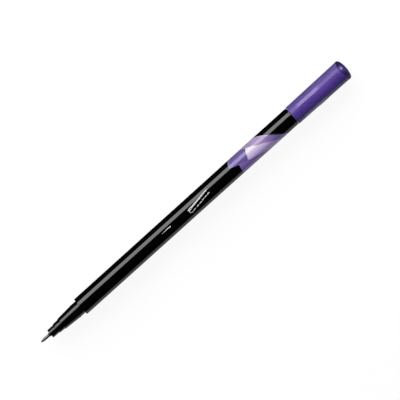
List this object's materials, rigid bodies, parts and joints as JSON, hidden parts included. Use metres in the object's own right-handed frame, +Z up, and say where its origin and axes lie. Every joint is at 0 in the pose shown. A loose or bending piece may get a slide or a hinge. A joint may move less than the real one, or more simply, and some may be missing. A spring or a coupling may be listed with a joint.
{
  "type": "fine fibre-tip marking pen",
  "caption": "Slim round fibre-tip marking pen: glossy black barrel, stepped nose with a metal-sheathed fine point, and a translucent purple clip cap pushed onto the tail.",
  "frame": {"origin": "on the surface that the pen lies on, under its axis, half way between the nib's tip and the end of the posted cap", "axes": "+X runs along the pen from the nib to the posted cap, +Z is up from the surface that the pen lies on, and the pocket clip is on the -Y side, 33 degrees below the horizontal"},
  "size_m": [0.1642, 0.0104, 0.009],
  "materials": {
    "barrel_black": "high gloss, moulded, printed",
    "nose_black": "satin, moulded",
    "sheath_steel": "drawn steel tube, bright",
    "nib_fibre": "bonded fibre, inked",
    "reservoir_fibre": "fibre rod, inked",
    "reservoir_film": "clear film",
    "cap_purple": "gloss, translucent",
    "crown_purple": "gloss, translucent, thick",
    "liner_natural": "satin, translucent"
  },
  "bodies": {
    "pen": {"barrel": "barrel_black", "nib_holder": "nose_black", "nib_sheath": "sheath_steel", "fibre_nib": "nib_fibre", "reservoir_core": "reservoir_fibre", "reservoir_wrap": "reservoir_film", "tail_plug": "nose_black"},
    "cap": {"cap_shell": "cap_purple", "cap_liner": "liner_natural", "cap_crown": "crown_purple"},
    "clip": {"cap_clip": "cap_purple"}
  },
  "joints": [
    {"name": "cap_slide", "type": "slide", "parent": "pen", "child": "cap", "axis": [1, 0, 0], "range_m": [0, 0.03]},
    {"name": "clip_flex", "type": "hinge", "parent": "cap", "child": "clip", "pos_m": [0.0755, -0.00469, 0.00148], "axis": [0, -0.5417, 0.8406], "range_deg": [0, 9], "stiffness_Nm_per_rad": 0.35}
  ]
}
